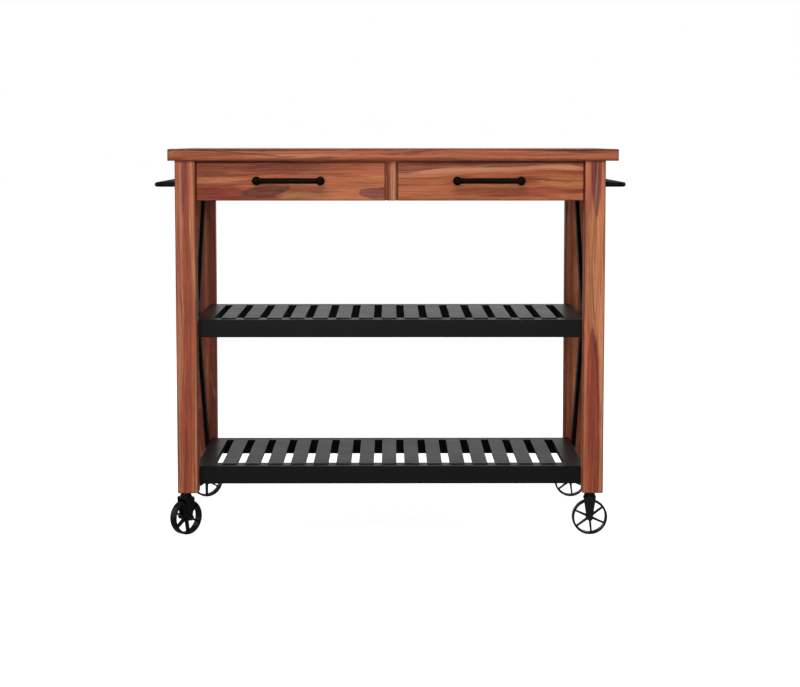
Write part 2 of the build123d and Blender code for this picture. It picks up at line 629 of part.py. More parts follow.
with BuildPart() as shelf_screws:
    spots = [(sx * SCREW_X, base + dz) for sx in (-1, 1) for base in SHELVES.values() for dz in SCREW_DZ]
    # front legs: the screws point forward, rear legs: they point back
    for y0, d in ((Y_FI + STEEL, -1), (Y_RI - STEEL, 1)):
        lo, length = span(y0, y0 + d * (STEEL + 15))
        with BuildSketch(Plane.XZ.offset(-(lo + length))):
            with Locations(*spots):
                Circle(2)
        extrude(amount=length)
        lo, length = span(y0, y0 - d * 2.4)
        with BuildSketch(Plane.XZ.offset(-(lo + length))):
            with Locations(*spots):
                Circle(3.8)
        extrude(amount=length)
shelf_screws.part.label = "shelf_screws"
export_step(shelf_screws.part, "parts/shelf_screws.step")

# --------------------------------------------- brackets that hold the worktop
with BuildPart() as top_brackets:
    for x in BRACKETS_REAR:
        with BuildSketch(Plane.YZ.offset(x - BRK_W / 2)):
            with BuildLine():
                Polyline((REAR_Y, UNDER), (REAR_Y - BRK, UNDER), (REAR_Y - BRK, UNDER - BRK_T),
                         (REAR_Y - BRK_T, UNDER - BRK_T), (REAR_Y - BRK_T, UNDER - BRK), (REAR_Y, UNDER - BRK), close=True)
            make_face()
        extrude(amount=BRK_W)
    for s in (-1, 1):
        for y in BRACKETS_SIDE:
            with BuildSketch(Plane.XZ.offset(-(y + BRK_W / 2))):
                with BuildLine():
                    Polyline((s * APRON_IN, UNDER), (s * (APRON_IN - BRK), UNDER), (s * (APRON_IN - BRK), UNDER - BRK_T),
                             (s * (APRON_IN - BRK_T), UNDER - BRK_T), (s * (APRON_IN - BRK_T), UNDER - BRK),
                             (s * APRON_IN, UNDER - BRK), close=True)
                make_face()
            extrude(amount=BRK_W)
    with BuildSketch(Plane.XY.offset(UNDER - BRK_T)):
        with Locations(*[(x, REAR_Y - BRK_HOLE) for x in BRACKETS_REAR]):
            Circle(2)
        with Locations(*[(s * (APRON_IN - BRK_HOLE), y) for s in (-1, 1) for y in BRACKETS_SIDE]):
            Circle(2)
    extrude(amount=BRK_T, mode=Mode.SUBTRACT)
    with BuildSketch(Plane.XZ.offset(-REAR_Y)):
        with Locations(*[(x, UNDER - BRK_HOLE) for x in BRACKETS_REAR]):
            Circle(2)
    extrude(amount=BRK_T, mode=Mode.SUBTRACT)
    for s in (-1, 1):
        x0, dx = span(s * APRON_IN, s * (APRON_IN - BRK_T))
        with BuildSketch(Plane.YZ.offset(x0)):
            with Locations(*[(y, UNDER - BRK_HOLE) for y in BRACKETS_SIDE]):
                Circle(2)
        extrude(amount=dx, mode=Mode.SUBTRACT)
top_brackets.part.label = "top_brackets"
export_step(top_brackets.part, "parts/top_brackets.step")

with BuildPart() as top_screws:
    up = [(x, REAR_Y - BRK_HOLE) for x in BRACKETS_REAR]
    up += [(s * (APRON_IN - BRK_HOLE), y) for s in (-1, 1) for y in BRACKETS_SIDE]
    with BuildSketch(Plane.XY.offset(UNDER - BRK_T)):
        with Locations(*up):
            Circle(2)
    extrude(amount=BRK_T + 14)
    with BuildSketch(Plane.XY.offset(UNDER - BRK_T - 2.2)):
        with Locations(*up):
            Circle(3.6)
    extrude(amount=2.2)
    low = [(x, RAIL_SCREW_Y) for x in RAIL_SCREWS]
    with BuildSketch(Plane.XY.offset(UNDER - TOP_RAIL_T)):
        with Locations(*low):
            Circle(2)
    extrude(amount=TOP_RAIL_T + 14)
    with BuildSketch(Plane.XY.offset(UNDER - TOP_RAIL_T - 2.2)):
        with Locations(*low):
            Circle(3.6)
    extrude(amount=2.2)
    back = [(x, UNDER - BRK_HOLE) for x in BRACKETS_REAR]
    with BuildSketch(Plane.XZ.offset(-(REAR_Y + 10))):
        with Locations(*back):
            Circle(2)
    extrude(amount=10 + BRK_T)
    with BuildSketch(Plane.XZ.offset(-(REAR_Y - BRK_T))):
        with Locations(*back):
            Circle(3.6)
    extrude(amount=2.2)
    for s in (-1, 1):
        spots = [(y, UNDER - BRK_HOLE) for y in BRACKETS_SIDE]
        x0, dx = span(s * (APRON_IN + 10), s * (APRON_IN - BRK_T))
        with BuildSketch(Plane.YZ.offset(x0)):
            with Locations(*spots):
                Circle(2)
        extrude(amount=dx)
        x0, dx = span(s * (APRON_IN - BRK_T), s * (APRON_IN - BRK_T - 2.2))
        with BuildSketch(Plane.YZ.offset(x0)):
            with Locations(*spots):
                Circle(3.6)
        extrude(amount=dx)
top_screws.part.label = "top_screws"
export_step(top_screws.part, "parts/top_screws.step")

# ------------------------------------------------------------------- castors
with BuildPart() as castor_sockets:
    spots = [(c[0], c[1]) for c in CASTORS.values()]
    with BuildSketch(Plane.XY.offset(LEG_Z - 2)):
        with Locations(*spots):
            Circle(NECK_R)
    extrude(amount=2)
    with BuildSketch(Plane.XY.offset(LEG_Z)):
        with Locations(*spots):
            Circle(SOCKET_D / 2)
    extrude(amount=SOCKET_L)
    with BuildSketch(Plane.XY.offset(LEG_Z - 2)):
        with Locations(*spots):
            Circle(STEM_D / 2 + 0.05)
    extrude(amount=SOCKET_L, mode=Mode.SUBTRACT)
castor_sockets.part.label = "castor_sockets"
export_step(castor_sockets.part, "parts/castor_sockets.step")

NECK_TOP = LEG_Z - 2.0
CROWN_Z0, CROWN_Z1 = 86.5, 91.0
CHEEK_IN, CHEEK_T = 12.8, 4.0
CHEEK_TOP_W, CHEEK_LOW_W = 27.0, 13.0


def make_castor(name, x, y, turn, phase):
    t = radians(turn)
    roll = (cos(t), sin(t), 0)                  # rolling direction
    near = (sin(t), -cos(t), 0)                 # axle direction, towards the user at turn 0
    level = Plane(origin=(x, y, 0), x_dir=roll, z_dir=(0, 0, 1))
    disc = Plane(origin=(x, y, AXLE_Z), x_dir=roll, z_dir=near)

    with BuildPart() as fork:
        # stem, neck and domed crown
        with BuildSketch(Plane(origin=(x, y, 0), x_dir=roll, z_dir=near)):
            with BuildLine():
                Polyline((0, CROWN_Z0), (13.0, CROWN_Z0), (15.4, CROWN_Z0 + 1.2), (15.4, CROWN_Z1), (13.4, 95.5),
                         (NECK_R, 98.5), (NECK_R, NECK_TOP), (STEM_D / 2, NECK_TOP), (STEM_D / 2, NECK_TOP + 32),
                         (STEM_D / 2 - 1, NECK_TOP + 33), (0, NECK_TOP + 33), close=True)
            make_face()
        revolve(axis=Axis((x, y, 0), (0, 0, 1)))
        # bridge that carries the two cheeks
        with BuildSketch(level.offset(CROWN_Z0)):
            RectangleRounded(CHEEK_TOP_W, 2 * (CHEEK_IN + CHEEK_T), 3)
        extrude(amount=5)
        # tapered cheeks with a round end at the axle
        for a in (-CHEEK_IN - CHEEK_T, CHEEK_IN):
            with BuildSketch(disc.offset(a)):
                with BuildLine():
                    l1 = Line((-CHEEK_TOP_W / 2, CROWN_Z0 + 2 - AXLE_Z), (CHEEK_TOP_W / 2, CROWN_Z0 + 2 - AXLE_Z))
                    l2 = Line(l1 @ 1, (CHEEK_LOW_W / 2, 0))
                    l3 = RadiusArc(l2 @ 1, (-CHEEK_LOW_W / 2, 0), CHEEK_LOW_W / 2 + 0.01)
                    Line(l3 @ 1, l1 @ 0)
                make_face()
                Circle(4.05, mode=Mode.SUBTRACT)
            extrude(amount=CHEEK_T)
    fork.part.label = f"castor_fork_{name}"
    export_step(fork.part, f"parts/castor_fork_{name}.step")

    reach = CHEEK_IN + CHEEK_T
    with BuildPart() as axle:
        # axle bolt with a hexagon head on the near side
        with BuildSketch(disc.offset(-reach - 8.5)):
            Circle(4)
        extrude(amount=2 * reach + 8.5)
        with BuildSketch(disc.offset(reach)):
            RegularPolygon(6.5, 6, major_radius=False)
        extrude(amount=4.5)
        # its nut on the far side, a separate solid
        with BuildSketch(disc.offset(-reach - 6)):
            RegularPolygon(6.5, 6, major_radius=False)
            Circle(4.02, mode=Mode.SUBTRACT)
        extrude(amount=6)
    axle.part.label = f"axle_bolt_{name}"
    export_step(axle.part, f"parts/axle_bolt_{name}.step")

    spin = Plane(origin=(x, y, AXLE_Z), x_dir=(cos(t) * cos(radians(phase)), sin(t) * cos(radians(phase)), sin(radians(phase))), z_dir=near)
    r_in = WHEEL_D / 2 - RIM_T
    with BuildPart() as wheel:
        # rim with a lightly crowned tread
        with BuildSketch(spin.offset(-WHEEL_W / 2)):
            Circle(WHEEL_D / 2)
            Circle(r_in, mode=Mode.SUBTRACT)
        extrude(amount=WHEEL_W)
        fillet(wheel.edges().filter_by(GeomType.CIRCLE).sort_by(SortBy.RADIUS)[-2:], 2.2)
        # hub
        with BuildSketch(spin.offset(-HUB_W / 2)):
            Circle(HUB_D / 2)
        extrude(amount=HUB_W)
        # spokes, wider at the hub
        with BuildSketch(spin.offset(-5)):
            with PolarLocations(0, SPOKES):
                Polygon((HUB_D / 2 - 2, -2.6), (r_in + 1.5, -1.8), (r_in + 1.5, 1.8), (HUB_D / 2 - 2, 2.6), align=None)
        extrude(amount=10)
        with BuildSketch(spin.offset(-HUB_W / 2)):
            Circle(4.05)
        extrude(amount=HUB_W, mode=Mode.SUBTRACT)
    wheel.part.label = f"castor_wheel_{name}"
    export_step(wheel.part, f"parts/castor_wheel_{name}.step")


for name, (cx, cy, turn, phase) in CASTORS.items():
    make_castor(name, cx, cy, turn, phase)
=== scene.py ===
import bpy
from math import radians, pi, sin, cos
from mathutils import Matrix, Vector


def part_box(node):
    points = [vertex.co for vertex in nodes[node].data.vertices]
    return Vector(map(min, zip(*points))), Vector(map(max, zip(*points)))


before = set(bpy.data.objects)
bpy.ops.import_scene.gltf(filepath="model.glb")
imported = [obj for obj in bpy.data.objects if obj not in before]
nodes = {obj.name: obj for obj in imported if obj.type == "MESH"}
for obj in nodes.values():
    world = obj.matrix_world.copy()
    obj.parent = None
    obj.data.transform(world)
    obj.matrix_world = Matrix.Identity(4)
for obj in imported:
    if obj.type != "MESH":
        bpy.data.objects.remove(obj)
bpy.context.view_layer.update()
scene = bpy.context.scene

# --------------------------------------------------------------------- camera
cam_data = bpy.data.cameras.new("camera")
cam_data.lens = 94.5
cam_data.sensor_width = 36.0
cam = bpy.data.objects.new("camera", cam_data)
scene.collection.objects.link(cam)
cam.location = (-0.0006, -5.2304, 0.9425)
cam.rotation_euler = (pi / 2 - 0.09688, 0, -0.0047174)
scene.camera = cam
scene.view_settings.view_transform = "Standard"


# ------------------------------------------------------------- colour helpers
def lin(c):
    c = c / 255.0
    return c / 12.92 if c <= 0.04045 else ((c + 0.055) / 1.055) ** 2.4


def rgb(r, g, b):
    return (lin(r), lin(g), lin(b), 1.0)


LIT = 0.60      # how bright a white front would look under the lights below


def lit(r, g, b):
    """Surface colour that looks like r, g, b on the lit front."""
    return tuple(min(0.92, lin(c) / LIT) for c in (r, g, b)) + (1.0,)


class Tree:
    """Short names for the shader nodes that the materials below are made of."""

    def __init__(self, name):
        self.mat = bpy.data.materials.new(name)
        self.mat.use_nodes = True
        self.t = self.mat.node_tree
        self.t.nodes.clear()
        self.out = self.t.nodes.new("ShaderNodeOutputMaterial")
        self.bsdf = self.t.nodes.new("ShaderNodeBsdfPrincipled")
        self.t.links.new(self.bsdf.outputs[0], self.out.inputs[0])
        self.co = self.t.nodes.new("ShaderNodeTexCoord").outputs["Object"]

    def put(self, socket, value):
        if isinstance(value, bpy.types.NodeSocket):
            self.t.links.new(value, socket)
        elif value is not None:
            socket.default_value = value

    def math(self, op, a, b=None, c=None, clamp=False):
        n = self.t.nodes.new("ShaderNodeMath")
        n.operation, n.use_clamp = op, clamp
        for i, v in enumerate((a, b, c)):
            if v is not None:
                self.put(n.inputs[i], v)
        return n.outputs[0]

    def add(self, a, b):
        return self.math("ADD", a, b)

    def sub(self, a, b):
        return self.math("SUBTRACT", a, b)

    def mul(self, a, b):
        return self.math("MULTIPLY", a, b)

    def vec(self, op, a, b=None, out=0):
        n = self.t.nodes.new("ShaderNodeVectorMath")
        n.operation = op
        self.put(n.inputs[0], a)
        if b is not None:
            self.put(n.inputs[3 if op == "SCALE" else 1], b)
        return n.outputs["Value" if op in ("LENGTH", "DOT_PRODUCT", "DISTANCE") else "Vector"]

    def split(self, v):
        n = self.t.nodes.new("ShaderNodeSeparateXYZ")
        self.put(n.inputs[0], v)
        return n.outputs

    def join(self, x, y, z):
        n = self.t.nodes.new("ShaderNodeCombineXYZ")
        for i, v in enumerate((x, y, z)):
            self.put(n.inputs[i], v)
        return n.outputs[0]

    def noise(self, v, scale=1.0, detail=2.0, rough=0.5, distort=0.0, color=False):
        n = self.t.nodes.new("ShaderNodeTexNoise")
        self.put(n.inputs["Vector"], v)
        n.inputs["Scale"].default_value = scale
        n.inputs["Detail"].default_value = detail
        n.inputs["Roughness"].default_value = rough
        n.inputs["Distortion"].default_value = distort
        return n.outputs["Color" if color else 0]

    def white(self, v, color=False):
        n = self.t.nodes.new("ShaderNodeTexWhiteNoise")
        n.noise_dimensions = "3D"
        self.put(n.inputs["Vector"], v)
        return n.outputs["Color" if color else "Value"]

    def voronoi(self, v, scale, out="Distance"):
        n = self.t.nodes.new("ShaderNodeTexVoronoi")
        self.put(n.inputs["Vector"], v)
        n.inputs["Scale"].default_value = scale
        return n.outputs[out]

    def step(self, v, lo, hi, out_lo=0.0, out_hi=1.0, kind="SMOOTHSTEP"):
        n = self.t.nodes.new("ShaderNodeMapRange")
        n.interpolation_type = kind
        self.put(n.inputs["Value"], v)
        for k, x in (("From Min", lo), ("From Max", hi), ("To Min", out_lo), ("To Max", out_hi)):
            self.put(n.inputs[k], x)
        return n.outputs[0]

    def ramp(self, v, stops, kind="EASE"):
        n = self.t.nodes.new("ShaderNodeValToRGB")
        cr = n.color_ramp
        cr.interpolation = kind
        while len(cr.elements) < len(stops):
            cr.elements.new(0.5)
        for e, (p, c) in zip(cr.elements, stops):
            e.position, e.color = p, c
        self.put(n.inputs[0], v)
        return n.outputs[0]

    def curve(self, v, points, kind="AUTO"):
        """A smooth function of v through the given points; both in 0 to 1."""
        n = self.t.nodes.new("ShaderNodeFloatCurve")
        c = n.mapping.curves[0]
        while len(c.points) < len(points):
            c.points.new(0.5, 0.5)
        for p, (x, y) in zip(c.points, points):
            p.location, p.handle_type = (x, y), kind
        n.mapping.update()
        self.put(n.inputs["Value"], v)
        return n.outputs[0]

    def mix(self, a, b, f, mode="MIX"):
        n = self.t.nodes.new("ShaderNodeMix")
        n.data_type, n.blend_type, n.clamp_factor = "RGBA", mode, True
        self.put(n.inputs[0], f)
        self.put(n.inputs[6], a)
        self.put(n.inputs[7], b)
        return n.outputs[2]

    def bump(self, height, distance, strength=1.0, normal=None):
        n = self.t.nodes.new("ShaderNodeBump")
        n.inputs["Strength"].default_value = strength
        n.inputs["Distance"].default_value = distance
        self.put(n.inputs["Height"], height)
        if normal is not None:
            self.put(n.inputs["Normal"], normal)
        return n.outputs[0]

    def set(self, **kw):
        for k, v in kw.items():
            self.put(self.bsdf.inputs[k.replace("_", " ")], v)


# ----------------------------------------------------------------------- wood
LIGHT = lit(204, 130, 94)
ORANGE = lit(186, 108, 70)
MID = lit(162, 86, 56)
RED = lit(132, 63, 42)
PURPLE = lit(106, 54, 46)
DARK = lit(70, 34, 27)
AXES = {"X": (0, 2, 1), "Y": (1, 2, 0), "Z": (2, 0, 1)}     # along the grain, then the two across it


def wood(name, grain, seed, pith=(0.05, 0.09), tone=(0.20, 0.40, 0.55, 0.72), box=None, streaks=(), boards=None,
         gloss=0.50, shade=1.0, band=62.0, warp=0.020, contrast=1.45, reach=None, top_dark=None):
    """Streaky reddish hardwood. Everything is a solid texture in metres, so the figure
    runs through the board and the ends show its rings."""
    k = Tree(name)
    xyz = k.split(k.co)
    l, u, v = (xyz[i] for i in AXES[grain])
    tint = None
    s = float(seed) * 7.31
    ls, us, vs = k.add(l, s), k.add(u, s * 0.37), k.add(v, -s * 0.53)
    if boards:
        # edge-glued staves: each one has its own figure and tone
        width, start, along = boards
        strip = k.math("FLOOR", k.math("DIVIDE", k.sub(v if along == "v" else u, start), width))
        pick = k.split(k.white(k.join(strip, s, 3.7), color=True))
        ls = k.add(ls, k.mul(pick[0], 9.0))
        us = k.add(us, k.mul(pick[1], 5.0))
        tint = pick[2]
    # slow wander of the grain
    wander = k.split(k.noise(k.join(k.mul(us, 5.0), k.mul(vs, 5.0), k.mul(ls, 1.6)), 1.0, 2.0, 0.5, color=True))
    small = k.split(k.noise(k.join(k.mul(us, 26.0), k.mul(vs, 26.0), k.mul(ls, 8.0)), 1.0, 2.0, 0.5, color=True))
    du = k.add(k.mul(k.sub(wander[0], 0.5), warp * 2), k.mul(k.sub(small[0], 0.5), 0.009))
    dv = k.add(k.mul(k.sub(wander[1], 0.5), warp * 2), k.mul(k.sub(small[1], 0.5), 0.009))
    uw, vw = k.add(u, du), k.add(v, dv)
    ru, rv = k.add(uw, pith[0]), k.add(vw, pith[1])
    if boards:
        ru = k.add(ru, k.mul(k.sub(pick[1], 0.5), 0.12))
        rv = k.add(rv, k.mul(k.sub(pick[0], 0.5), 0.10))
    r = k.math("SQRT", k.add(k.mul(ru, ru), k.mul(rv, rv)))
    # listed figure: (colour, [(along, centre across)], [(along, half width)], softness, strength)
    placed = []
    if streaks:
        lo_l, hi_l, lo_u, hi_u = box[0], box[1], box[2], box[3]
        tl = k.step(l, lo_l, hi_l, kind="LINEAR")
        # the wander is damped here, so that the figure stays where it was put
        tu = k.step(k.add(u, k.add(k.mul(k.sub(wander[0], 0.5), warp * 0.25), k.mul(k.sub(small[0], 0.5), 0.0055))),
                    lo_u, hi_u, kind="LINEAR")
        for c, centre, half, soft, strength in streaks:
            mid = k.curve(tl, centre)
            wid = k.curve(tl, half)
            away = k.sub(k.math("ABSOLUTE", k.sub(tu, mid)), wid)
            placed.append((c, wid, away, soft, strength))
    # broad bands, streaks, narrow rings and hair lines, all following the rings
    wide = k.noise(k.join(k.add(k.mul(r, band), s), k.mul(ls, 1.3), s), 1.0, 3.0, 0.55)
    streak = k.noise(k.join(k.add(k.mul(r, band * 2.1), s), k.mul(ls, 5.5), s + 8.0), 1.0, 3.0, 0.62)
    rings = k.noise(k.join(k.add(k.mul(r, band * 5.2), s), k.mul(ls, 3.5), s + 4.0), 1.0, 2.0, 0.62)
    hair = k.noise(k.join(k.mul(uw, 620.0), k.mul(vw, 620.0), k.mul(ls, 9.0)), 1.0, 2.0, 0.6)
    level = k.add(k.mul(k.sub(wide, 0.5), contrast), 0.5)
    level = k.add(level, k.mul(k.sub(streak, 0.5), 0.50))
    level = k.add(level, k.mul(k.sub(rings, 0.5), 0.36))
    level = k.add(level, k.mul(k.sub(hair, 0.5), 0.14))
    if tint is not None:
        level = k.add(level, k.mul(k.sub(tint, 0.5), 0.22))
    t0, t1, t2, t3 = tone
    col = k.ramp(level, [(max(0.0, t0 - 0.14), DARK), (t0, PURPLE), (t1, RED), (t2, MID), (0.5 * (t2 + t3), ORANGE), (t3, LIGHT)])
    near_front = k.step(v, box[4] + reach[0], box[4] + reach[1], 1.0, 0.0) if reach else None
    if placed:
        feather = k.noise(k.join(k.mul(uw, 300.0), k.mul(vw, 300.0), k.mul(ls, 7.0)), 1.0, 3.0, 0.6)
    for i, (c, wid, away, soft, strength) in enumerate(placed):
        # the edge of a figure runs out in fine points along the grain
        stray = k.add(k.mul(k.sub(rings, 0.5), 0.10 + soft * 0.5), k.mul(k.sub(streak, 0.5), 0.10 + soft * 0.6))
        stray = k.add(stray, k.mul(k.sub(feather, 0.5), 0.11 + soft * 0.4))
        edge = k.add(away, k.mul(stray, k.step(wid, 0.0, 0.09, 0.25, 1.0)))
        m = k.step(edge, -soft - 0.03, soft * 0.6 + 0.01, 1.0, 0.0)
        m = k.mul(m, k.step(wid, 0.0, 0.05))
        m = k.mul(m, k.step(k.add(rings, k.mul(k.sub(streak, 0.5), 0.6)), 0.30, 0.66, strength * 0.66, strength))
        if near_front is not None:
            m = k.mul(m, near_front)
        # lines inside it that follow its outline
        inner = k.noise(k.join(k.mul(away, 17.0), k.mul(ls, 5.0), s + 2.3 * i), 1.0, 3.0, 0.6)
        low = tuple(x * 0.58 for x in c[:3]) + (1.0,)
        high = tuple(min(0.92, x * 1.24) for x in c[:3]) + (1.0,)
        col = k.mix(col, k.mix(low, high, k.step(inner, 0.32, 0.64)), m)
        if soft < 0.05:
            # a darker rim just inside the edge
            rim = k.mul(k.step(k.math("ABSOLUTE", k.add(edge, 0.05)), 0.0, 0.055, 1.0, 0.0), k.step(wid, 0.02, 0.08))
            col = k.mix(col, DARK, k.mul(rim, 0.34 * strength))
    # thin dark and light lines along the grain
    lines = k.noise(k.join(k.add(k.mul(r, band * 4.6), s * 1.7), k.mul(ls, 4.4), s + 19.0), 1.0, 2.0, 0.66)
    col = k.mix(col, lit(96, 46, 32), k.mul(k.step(lines, 0.56, 0.69), 0.60))
    col = k.mix(col, lit(212, 140, 104), k.mul(k.step(lines, 0.40, 0.27), 0.40))
    # open pores: short dark dashes along the grain
    pores = k.noise(k.join(k.mul(uw, 1500.0), k.mul(vw, 1500.0), k.mul(ls, 48.0)), 1.0, 1.0, 0.5)
    pore = k.step(pores, 0.60, 0.72)
    pore = k.mul(pore, k.step(wide, 0.35, 0.6, 1.0, 0.45))
    col = k.mix(col, lit(58, 28, 20), k.mul(pore, 0.50))
    # the slow drift of tone that one board has along its length
    drift = k.noise(k.join(k.mul(us, 6.0), k.mul(vs, 6.0), k.mul(ls, 2.4)), 1.0, 1.0, 0.5)
    col = k.mix(col, rgb(184, 168, 164), k.step(drift, 0.62, 0.25, 0.0, 0.30), "MULTIPLY")
    # eased edges: darker and a little glossier within a few millimetres of each edge, with small nicks
    edge_darkening = None
    if box and len(box) >= 6:
        d = []
        for c, (a, b) in zip((l, u, v), ((box[0], box[1]), (box[2], box[3]), (box[4], box[5]))):
            d.append(k.sub((b - a) / 2, k.math("ABSOLUTE", k.sub(c, (a + b) / 2))))
        lo2 = k.math("MINIMUM", d[1], d[2])
        hi2 = k.math("MAXIMUM", d[1], d[2])
        near = k.math("MAXIMUM", lo2, k.math("MINIMUM", hi2, d[0]))
        rag = k.noise(k.join(k.mul(us, 160.0), k.mul(vs, 160.0), k.mul(ls, 40.0)), 1.0, 3.0, 0.6)
        near = k.add(near, k.mul(k.sub(rag, 0.5), 0.0022))
        edge_darkening = k.step(near, 0.0004, 0.0036, 1.0, 0.0)
        col = k.mix(col, lit(88, 46, 32), k.mul(edge_darkening, 0.60))
    if boards:
        width, start, along = boards
        pos = k.math("FRACT", k.math("DIVIDE", k.sub(v if along == "v" else u, start), width))
        seam = k.math("MINIMUM", pos, k.sub(1.0, pos))
        seam = k.step(seam, 0.002, 0.008, 1.0, 0.0)
        col = k.mix(col, lit(66, 34, 24), k.mul(seam, 0.55))
    # painted light: this level makes the whole piece lighter or darker to stand in for the light it gets
    if shade != 1.0:
        col = k.mix(col, (shade, shade, shade, 1.0), 1.0, "MULTIPLY")
    rough = k.add(gloss, k.mul(k.sub(rings, 0.5), 0.16))
    rough = k.add(rough, k.mul(pore, 0.18))
    if edge_darkening is not None:
        rough = k.add(rough, k.mul(edge_darkening, -0.06))
    height = k.add(k.mul(hair, 0.35), k.mul(rings, 0.5))
    height = k.sub(height, k.mul(pore, 0.9))
    k.set(Base_Color=col, Roughness=rough, Normal=k.bump(height, 0.00022, 0.55), Specular_IOR_Level=0.16)
    return k.mat


# ---------------------------------------------------------------------- metal
def black(name, base=11.0, rough=0.40, spec=0.16, grain=900.0, warm=0.0):
    """Black powder coat: a fine leathery skin, with dust and slight polish in places."""
    k = Tree(name)
    skin = k.noise(k.co, grain, 3.0, 0.6)
    cells = k.voronoi(k.co, grain * 1.3)
    cloud = k.noise(k.co, 9.0, 3.0, 0.55)
    dust = k.noise(k.co, 240.0, 2.0, 0.7)
    c = k.mix(rgb(base + warm, base, base + 0.5 - warm * 0.3), rgb(base + 8 + warm, base + 8, base + 8), k.step(skin, 0.45, 0.75))
    c = k.mix(c, rgb(base + 16, base + 15, base + 14), k.mul(k.step(dust, 0.60, 0.78), 0.45))
    r = k.add(rough, k.mul(k.sub(cloud, 0.5), 0.12))
    r = k.add(r, k.mul(k.sub(skin, 0.5), 0.20))
    h = k.add(k.mul(skin, 0.7), k.mul(cells, 0.5))
    k.set(Base_Color=c, Roughness=r, Normal=k.bump(h, 0.00012, 0.6), Specular_IOR_Level=spec)
    return k.mat


def plated(name):
    """Zinc-plated steel with a brushed, slightly blotchy surface."""
    k = Tree(name)
    blot = k.noise(k.co, 60.0, 3.0, 0.6)
    brush = k.noise(k.vec("MULTIPLY", k.co, (90.0, 900.0, 900.0)), 1.0, 2.0, 0.6)
    c = k.ramp(blot, [(0.3, rgb(150, 148, 142)), (0.55, rgb(185, 184, 180)), (0.8, rgb(205, 204, 200))])
    r = k.add(0.30, k.mul(brush, 0.22))
    k.set(Base_Color=c, Roughness=r, Metallic=1.0, Normal=k.bump(brush, 0.00004, 0.5))
    return k.mat


# --------------------------------------------------------- a wood for each piece
def box_of(name, grain, skip=0.0):
    lo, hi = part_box(name)
    o = AXES[grain]
    return [lo[o[0]], hi[o[0]], lo[o[1]], hi[o[1]], lo[o[2]], hi[o[2]]]


def dress(node, mat):
    o = nodes[node]
    o.data.materials.clear()
    o.data.materials.append(mat)


def cut(node, grain, **over):
    """The node's box with the tenons or other hidden ends taken off."""
    b = box_of(node, grain)
    for i, val in over.items():
        b[int(i[1:])] = val
    return b


